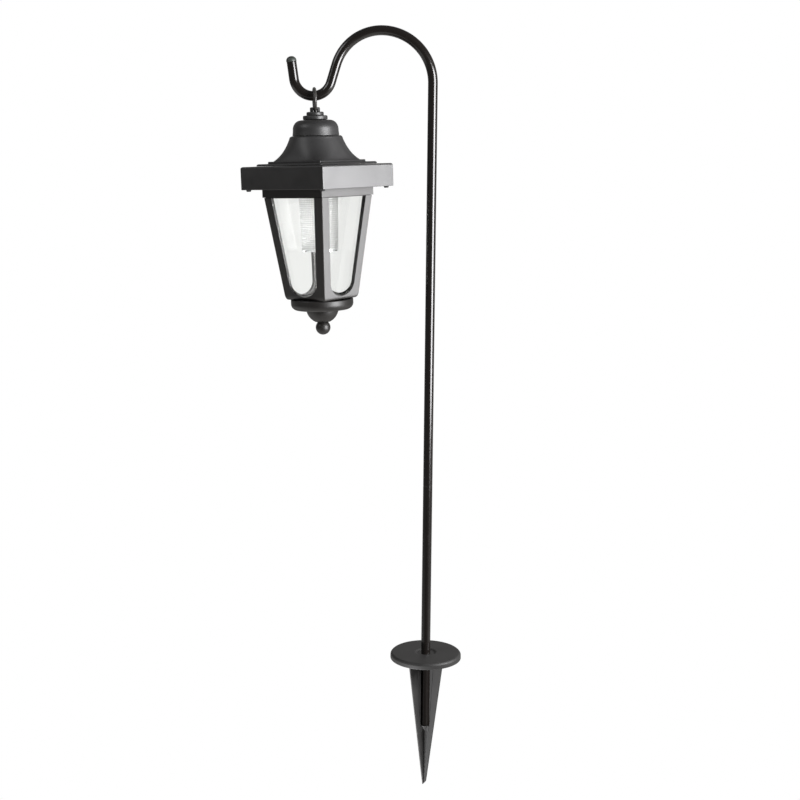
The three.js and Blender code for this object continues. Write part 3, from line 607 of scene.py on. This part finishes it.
def make_dome():
    profile = rounded([*dome_curve(0), *dome_curve(ROOF_WALL)[::-1], (26.0, 57.6)], 0.3)
    dome = turned("dome_cap_piece", profile, 128)
    settle(dome, LANTERN, "lantern", "dome_cap", roof_black)


def canopy_rows(inset):
    """(corner reach, spread, z) rows: round at the shoulder, square with round corners at the foot."""
    top, shoulder, foot = Vector((29.8, 54.4)), Vector((36.3, 37.6)), Vector((FOOT_CORNER, 30.3))
    along = [i / 28 for i in range(29)]
    flare = [top * (1 - t) ** 2 + shoulder * 2 * t * (1 - t) + foot * t ** 2 for t in along]
    outline = [(2.8, 57.3), (20.0, 57.3), *arc(26.6, 54.1, 3.2, 90, 15, 8)] + [tuple(p) for p in flare]
    rows = []
    for r, z in outline:
        down = min(max((54.4 - z) / 24.0, 0.0), 1.0)
        spread = 1 + (FOOT_CORNER / FOOT_SIDE - 1) * down ** 2
        rows.append((max(r - inset, 2.8), spread, z - (inset if z > 30.5 else 0)))
    return rows


def canopy_ring(corner, spread, z, sides=128):
    """Superellipse whose corners reach `spread` times as far out as its sides."""
    power = 1 / (0.5 - math.log2(spread))
    ring = []
    for i in range(sides):
        a = 2 * math.pi * i / sides
        c, s = math.cos(a), math.sin(a)
        reach = corner / spread / (abs(c) ** power + abs(s) ** power) ** (1 / power)
        ring.append((reach * c, reach * s, z))
    return ring


def make_canopy():
    outside, inside = canopy_rows(0), canopy_rows(ROOF_WALL)[::-1]
    rings = [canopy_ring(*row) for row in outside + inside]
    body = loft("canopy", rings, closed=True)
    mouth = turned("mouth", [(0, 20), (30, 20), (30, 33), (0, 33)], 96)
    low = [(47.7, 1.2, 25.6), (48.0, 1.5, 25.8)]
    low += [(r, 1.4, z) for r, z in arc(46.2, 26.1, 1.8, 0, 90, 7)]
    high = [(39.2, 1.2, 27.9), (38.8, 1.2, 28.2)]
    high += [(r, 1.2, z) for r, z in arc(38.0, 29.5, 0.8, 0, 90, 5)]
    steps = square_block("steps", low + high)
    cut(steps, mouth)
    join(body, steps)
    settle(body, SQUARE, "lantern", "bell_canopy", roof_black)


# ---------- roof tray and solar cells ----------
def make_tray():
    top = EAVE_HALF
    rows = [(top - 0.35, 1.0, 0.0), (top, 1.2, 0.3), (top, 1.2, EAVE_H - 2.1)]
    rows += [(top - 2.1 + r, 1.2, z) for r, z in arc(0, EAVE_H - 2.1, 2.1, 0, 90, 8)][1:]
    body = square_block("tray", rows, 6)
    cut(body, square_block("cavity", [(58.6, 0.8, -1), (58.6, 0.8, EAVE_H - 3)]))
    low, high = CELL_CENTRE - CELL_W / 2 - GAP, CELL_CENTRE + CELL_W / 2 + GAP
    end = CELL_L / 2 + GAP
    for k in range(4):
        pocket = box("pocket", (low, high), (-end, end), (EAVE_H - CELL_T - GAP, EAVE_H + 1))
        cut(body, moved(pocket, Matrix.Rotation(k * math.pi / 2, 4, "Z")))
    cut(body, turned("opening", [(0, 15), (12, 15), (12, 32), (0, 32)], 48))
    soften(body, 0.2, 2, 60)
    settle(body, SQUARE, "lantern", "roof_tray", tray_black)


def make_cells():
    """Each strip has a softly domed resin face."""
    for k, side in enumerate(SIDES):
        half_w, half_l, low, high = CELL_W / 2, CELL_L / 2, EAVE_H - CELL_T, EAVE_H
        rows = [(0, low), (0, high - 0.45), (0.25, high - 0.15), (0.8, high), (2.4, high + 0.12)]
        rings = [[(CELL_CENTRE + x * (half_w - inset), y * (half_l - inset), z)
                  for x, y in [(-1, -1), (1, -1), (1, 1), (-1, 1)]] for inset, z in rows]
        strip = moved(loft(f"solar_strip_{side}", rings), Matrix.Rotation(k * math.pi / 2, 4, "Z"))
        settle(strip, SQUARE, "lantern", f"solar_cell_{side}", silicon)


# ---------- cage ----------
def cage_half(z):
    return CAGE_TOP_HALF + (CAGE_TOP_HALF - CAGE_LOW_HALF) / (CAGE_TOP - CAGE_LOW) * (z - CAGE_TOP)


def window_outline(inset=0.0, steps=28):
    """Arched window of one side, (across, z), anticlockwise from its upper left corner."""
    top, foot = cage_half(WINDOW_TOP) - POST_W - inset, cage_half(ARCH_START) - POST_W - inset
    depth = ARCH_START - ARCH_BOTTOM - inset
    arch = arc(0, ARCH_START, foot, 180, 360, steps, depth)
    return [(-top, WINDOW_TOP - inset), *arch, (top, WINDOW_TOP - inset)]


def make_cage():
    foot = [(27.0, 1.0, CAGE_FOOT), (28.0, 1.6, -123.7), (29.1, 2.0, -122.6), (29.8, 2.0, -120.9)]
    side = [(CAGE_LOW_HALF, 1.8, CAGE_LOW), (CAGE_TOP_HALF, 1.8, CAGE_TOP - 0.3),
            (CAGE_TOP_HALF - 0.3, 1.6, CAGE_TOP)]
    neck = [(42.1, 1.4, CAGE_TOP), (42.1, 1.4, -0.8), (41.7, 1.2, -0.4)]
    body = square_block("cage", foot + side + neck)
    floor = CAGE_FOOT + CAGE_FLOOR_T
    inner = cage_half(CAGE_TOP) - CAGE_WALL - 0.6
    hollow = [(cage_half(floor) - CAGE_WALL - 1, 0.8, floor),
              (cage_half(floor + 1) - CAGE_WALL, 1.2, floor + 1),
              (inner, 1.2, CAGE_TOP), (40.2, 1.2, CAGE_TOP), (40.2, 1.2, 1)]
    cut(body, square_block("hollow", hollow))
    span = 60
    for angle in (0, 90):
        rings = [[(x, y, z) for x, z in window_outline()] for y in (-span, span)]
        cut(body, moved(loft("window", rings), Matrix.Rotation(math.radians(angle), 4, "Z")))
    low, high = CAGE_FOOT - 1, floor + 1
    cut(body, turned("stud hole", [(0, low), (STUD_HOLE_R, low), (STUD_HOLE_R, high), (0, high)], 32))
    soften(body, 0.55, 3)
    settle(body, SQUARE, "cage", "cage_frame", shell)


def make_panes():
    """Clear plate behind each side of the frame."""
    lean = math.atan((CAGE_TOP_HALF - CAGE_LOW_HALF) / (CAGE_TOP - CAGE_LOW))
    top, low = -8.8, -121.0
    behind = CAGE_WALL + 0.6 + GAP + PANE_T / 2
    stretch = 1 / math.cos(lean)

    def half_at(z):
        return cage_half(z) - behind - PANE_T - GAP

    for k, side in enumerate(SIDES):
        corners = [(-half_at(low), low), (half_at(low), low), (half_at(top), top), (-half_at(top), top)]
        rings = [[(x, (z - low) * stretch, y) for x, z in corners] for y in (-PANE_T / 2, PANE_T / 2)]
        plate = loft(f"window_pane_{side}", rings)
        stand = Matrix.Translation((cage_half(low) - behind, 0, low)) @ Matrix.Rotation(lean, 4, "Y")
        stand = stand @ Matrix.Rotation(math.pi / 2, 4, "Z") @ Matrix.Rotation(math.pi / 2, 4, "X")
        moved(plate, Matrix.Rotation(k * math.pi / 2, 4, "Z") @ stand)
        soften(plate, 0.15, 2, 30)
        plate.visible_shadow = False
        settle(plate, SQUARE, "cage", f"pane_{side}", clear)


# ---------- light engine ----------
def make_diffuser():
    """Clear tube with a grid of small prisms outside and a plain bore."""
    flutes, per_flute, per_ring = 60, 4, 4
    pitch, depth = 2.3, 0.38
    high, low = -1.5, DIFFUSER_LOW
    sides = flutes * per_flute
    rows = round((high - low) / pitch) * per_ring
    rings = []
    for j in range(rows + 1):
        t = j / rows
        z = low + (high - low) * t
        base = DIFFUSER_LOW_R + DIFFUSER_FLARE * t
        ring = []
        for i in range(sides):
            a = 2 * math.pi * i / sides
            across = abs(math.sin(math.pi * i / per_flute))
            up = abs(math.sin(math.pi * j / per_ring))
            r = base - depth * (1 - min(across, 1)) * 0.8 - depth * (1 - up)
            ring.append((r * math.cos(a), r * math.sin(a), z))
        rings.append(ring)

    def plain(r, z):
        turn = [2 * math.pi * i / sides for i in range(sides)]
        return [(r * math.cos(a), r * math.sin(a), z) for a in turn]

    rings += [plain(22.8, high), plain(22.8, -0.1), plain(20.7, -0.1), plain(18.8, low)]
    body = loft("diffuser_tube", rings, closed=True)
    # Depth of the grooves at each point, which the material reads to paint shade down in them.
    groove = body.data.attributes.new("groove", "FLOAT", "POINT")
    for vertex, value in zip(body.data.vertices, groove.data):
        x, y, z = vertex.co
        base = DIFFUSER_LOW_R + DIFFUSER_FLARE * (z - low) / (high - low)
        outside = math.hypot(x, y) > base - 1.2 and low < z < high
        value.value = min(max((base - math.hypot(x, y)) / (depth * 1.2), 0.0), 1.0) if outside else 0.0
    body.visible_shadow = False
    settle(body, LANTERN, "lantern", "diffuser", ribbed, angle=24)


def make_reflector():
    high = DIFFUSER_LOW - GAP
    profile = rounded([(0, high - 1.6), (20.4, high - 1.6), (20.4, high), (17.7, high), (17.7, high + 1.4),
                       (12, high + 2.4), (6.5, high + 5.2), (3, high + 8), (0, high + 8.6)], 0.4)
    cone = turned("reflector_cone", profile, 96)
    settle(cone, LANTERN, "lantern", "reflector_disc", mirror)


def make_led():
    bulb = arc(0, -2.7, 2.5, -90, 0, 12)
    profile = rounded([*bulb, (2.5, 1.6), (2.95, 1.6), (2.95, 2.6), (0, 2.6)], 0.15)
    settle(turned("led_dome", profile, 48), LANTERN, "lantern", "led", lens)


# ---------- base cup and ball ----------
def make_base():
    outer = [(CUP_R - 0.6, CUP_TOP), (CUP_R, CUP_TOP - 0.7), *arc(CUP_R - 7.2, CUP_EDGE, 7.2, 0, -74, 14),
             (21.5, BOWL_Z - 1.9), (19.2, BOWL_Z - 2.1), (18.5, BOWL_Z - 2.6),
             *arc(0, BOWL_Z, 18.5, -9, -62, 18, 17.8), (7.4, BOWL_LOW)]
    inner = [(STUD_HOLE_R, BOWL_LOW), (STUD_HOLE_R, BOWL_LOW + 2.2),
             *arc(0, BOWL_Z, 16.4, -60, -11, 8, 15.6), (19, BOWL_Z),
             *arc(CUP_R - 7, CUP_EDGE, 5, -70, 0, 8), (CUP_R - 2, CUP_TOP), (CUP_R - 0.6, CUP_TOP)]
    cup = turned("base_cup_piece", rounded([*outer, *inner], 0.35), 128)
    settle(cup, LANTERN, "cage", "base_cup", shell)
    seat = BOWL_LOW - GAP
    top = math.degrees(math.asin((seat - BALL_Z) / BALL_R))
    profile = [*arc(0, BALL_Z, BALL_R, -90, top, 28), (2.0, seat), (2.0, -114.4), (1.6, -114), (0, -114)]
    profile[0] = (0, BALL_Z - BALL_R)
    ball = turned("ball_finial_piece", profile, 72)
    settle(ball, LANTERN, "cage", "ball_finial", shell)


# ---------- CAD nodes that keep their shape ----------
def dress(node, material, width=0.25):
    """Gives a CAD node its material and soft edges."""
    obj = frame["nodes"][node]
    obj.data.materials.clear()
    obj.data.materials.append(material)
    bevel = obj.modifiers.new("soft edges", "BEVEL")
    bevel.width = width * MM
    bevel.segments = 2
    bevel.limit_method = "ANGLE"
    bevel.angle_limit = math.radians(40)
    bevel.harden_normals = True


make_lower_tube()
make_hook()
make_stake()
make_ring()
make_turret()
make_dome()
make_canopy()
make_tray()
make_cells()
make_cage()
make_panes()
make_diffuser()
make_reflector()
make_led()
make_base()

dress("roof_underplate", shell, 0.4)
dress("battery_lid", shell)
dress("switch_knob", black)
dress("switch_housing", zinc, 0.15)
dress("circuit_board", solder_mask, 0.15)
dress("battery", sleeve, 0.4)
for node in ["battery_contact", "battery_spring"]:
    dress(node, zinc, 0.05)
for node in ["turret_nut", "ball_nut"] + [f"canopy_screw_{k}" for k in (1, 2, 3, 4)]:
    dress(node, zinc, 0.3)
for node in [f"underplate_screw_{k}" for k in (1, 2, 3, 4)]:
    dress(node, black, 0.3)
for node in ["battery_lead_red", "solar_lead_red"]:
    dress(node, red, 0.1)
for node in ["battery_lead_black", "solar_lead_black", "cell_link_1", "cell_link_2", "cell_link_3"]:
    dress(node, black, 0.1)


# ---------- floor, light and camera, in metres ----------
FLOOR_GAP, FLOOR_REACH = 0.0005, 12.0


def glow(name, strength):
    """White that looks the same wherever the lamps stand."""
    material = bpy.data.materials.new(name)
    material.use_nodes = True
    tree = material.node_tree
    tree.nodes.clear()
    emission = tree.nodes.new("ShaderNodeEmission")
    emission.inputs["Color"].default_value = (1, 1, 1, 1)
    emission.inputs["Strength"].default_value = strength
    tree.links.new(emission.outputs[0], tree.nodes.new("ShaderNodeOutputMaterial").inputs[0])
    return material


def make_floor():
    """White floor just under the stake's point."""
    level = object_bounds()[0][2] - FLOOR_GAP
    corners = [(-1, -1), (1, -1), (1, 1), (-1, 1)]
    floor = build("floor", [(x * FLOOR_REACH, y * FLOOR_REACH, level) for x, y in corners], [(0, 1, 2, 3)])
    floor.data.materials.append(glow("white floor", 1.0))
    floor.visible_diffuse = False
    floor.visible_glossy = False
    floor.visible_shadow = False


# Brightness of the room and of the white surround, as the pieces see them.
ROOM_FRONT, ROOM_LEFT, ROOM_RIGHT, CEILING = 0.09, 0.1, 0.25, 0.08
SURROUND_BELOW, SURROUND_BEHIND, SURROUND_UNDER = 1.0, 0.2, 0.8

# Lamps: name, place, target, width, height, brightness, and the pieces that it lights.
MIDDLE, STAKE = (-0.08, 0.0, 0.45), (0.0, 0.0, -0.05)
ALL, ALL_BUT_STAKE = "all", "all but the stake"
FLAT_SIDES = ["tray", "cage", "roof_underplate"]
LAMPS = [
    ("key softbox", (1.17, -0.93, 0.54), MIDDLE, 0.85, 1.10, 26.0, ALL_BUT_STAKE),
    ("stake lamp", (1.37, -0.52, 0.85), STAKE, 0.60, 0.70, 42.0, ["disc"]),
    ("high left softbox", (-1.45, -0.75, 1.55), MIDDLE, 0.90, 0.70, 4.0, ALL),
    ("low left bounce", (-0.60, -0.55, -0.85), STAKE, 0.60, 0.40, 36.0, ["disc"]),
    ("side panel", (1.52, -0.02, 0.18), MIDDLE, 1.00, 1.60, 14.5, FLAT_SIDES),
]

CAMERA_PLACE = (-0.03319, -1.55147, 0.58622)
CAMERA_PITCH, CAMERA_ROLL = 10.07, 0.522   # degrees
CAMERA_LENS, SENSOR_WIDTH = 61.637, 36.0   # millimetres


def make_world():
    """White to the camera and through clear plastic; a dim room with a white surround to the rest."""
    world = bpy.data.worlds.new("studio")
    world.use_nodes = True
    tree = world.node_tree
    white = tree.nodes["Background"]
    white.inputs["Color"].default_value = (1, 1, 1, 1)
    white.inputs["Strength"].default_value = 1.0

    def add(kind, inputs=(), **settings):
        node = tree.nodes.new(kind)
        for key, value in settings.items():
            setattr(node, key, value)
        for key, value in dict(inputs).items():
            if isinstance(value, bpy.types.NodeSocket):
                tree.links.new(value, node.inputs[key])
            else:
                node.inputs[key].default_value = value
        return node

    def ramp(value, start, end, low, high):
        limits = {"Value": value, "From Min": start, "From Max": end, "To Min": low, "To Max": high}
        node = add("ShaderNodeMapRange", limits, interpolation_type="SMOOTHSTEP")
        return node.outputs["Result"]

    def math_node(kind, *values):
        return add("ShaderNodeMath", dict(enumerate(values)), operation=kind).outputs[0]

    way = add("ShaderNodeSeparateXYZ", {"Vector": add("ShaderNodeTexCoord").outputs["Generated"]})
    x, y, z = (way.outputs[axis] for axis in "XYZ")
    beside = ramp(math_node("ABSOLUTE", x), 0.45, 0.85, 0.0, 1.0)
    below = math_node("MULTIPLY", ramp(z, -0.26, -0.45, 0.0, 1.0), beside)
    below = math_node("MULTIPLY", below, SURROUND_BELOW)
    left = ramp(x, -0.3, -0.9, 0.0, ROOM_LEFT)
    behind = ramp(y, 0.25, 0.75, 0.0, SURROUND_BEHIND)
    under = ramp(z, -0.55, -0.9, 0.0, SURROUND_UNDER)
    above = ramp(z, 0.35, 0.8, 0.0, CEILING)
    right = ramp(x, 0.7, 0.95, 0.0, ROOM_RIGHT)
    total = math_node("ADD", math_node("ADD", below, left), math_node("ADD", behind, under))
    total = math_node("ADD", total, math_node("ADD", above, right))
    room = add("ShaderNodeBackground", {"Color": (1.0, 0.985, 0.965, 1),
                                        "Strength": math_node("ADD", total, ROOM_FRONT)})
    path = add("ShaderNodeLightPath")
    seen = math_node("MAXIMUM", path.outputs["Is Camera Ray"], path.outputs["Is Transmission Ray"])
    mixed = add("ShaderNodeMixShader", {0: seen, 1: room.outputs[0], 2: white.outputs[0]})
    tree.links.new(mixed.outputs[0], tree.nodes["World Output"].inputs["Surface"])
    bpy.context.scene.world = world
    bpy.context.scene.view_settings.view_transform = "Standard"


def softbox(name, place, target, width, height, radiance):
    """Area light of even brightness facing the target."""
    lamp = bpy.data.lights.new(name, "AREA")
    lamp.shape = "RECTANGLE"
    lamp.size, lamp.size_y = width, height
    lamp.energy = radiance * math.pi * width * height
    lamp.color = (0.985, 0.985, 1.0)
    obj = bpy.data.objects.new(name, lamp)
    obj.location = place
    obj.rotation_euler = (Vector(target) - Vector(place)).to_track_quat("-Z", "Y").to_euler()
    obj.visible_camera = False
    bpy.context.scene.collection.objects.link(obj)
    return obj


def light_only(lamp, names):
    """Keeps a lamp's light, and what shades it, to the named pieces."""
    lit = bpy.data.collections.new(lamp.name + " lights these")
    for name in names:
        lit.objects.link(bpy.data.objects[name])
    lamp.light_linking.receiver_collection = lit
    lamp.light_linking.blocker_collection = lit


def make_lights():
    pieces = [obj.name for obj in bpy.data.objects if obj.type == "MESH"]
    for name, place, target, width, height, radiance, lit in LAMPS:
        lamp = softbox(name, place, target, width, height, radiance)
        if lit == ALL_BUT_STAKE:
            light_only(lamp, [piece for piece in pieces if piece != "disc"])
        elif lit != ALL:
            light_only(lamp, lit)


def make_camera():
    """Camera at the viewing height and distance that the picture was taken from."""
    pitch, roll = math.radians(CAMERA_PITCH), math.radians(CAMERA_ROLL)
    forward = Vector((0, math.cos(pitch), -math.sin(pitch)))
    right = Vector((1, 0, 0))
    up = right.cross(forward)
    turned_right = right * math.cos(roll) + up * math.sin(roll)
    turned_up = up * math.cos(roll) - right * math.sin(roll)
    data = bpy.data.cameras.new("camera")
    data.sensor_width = SENSOR_WIDTH
    data.lens = CAMERA_LENS
    camera = bpy.data.objects.new("camera", data)
    matrix = Matrix((turned_right, turned_up, -forward)).transposed().to_4x4()
    matrix.translation = Vector(CAMERA_PLACE)
    camera.matrix_world = matrix
    bpy.context.scene.collection.objects.link(camera)
    bpy.context.scene.camera = camera


make_floor()
make_world()
make_lights()
make_camera()
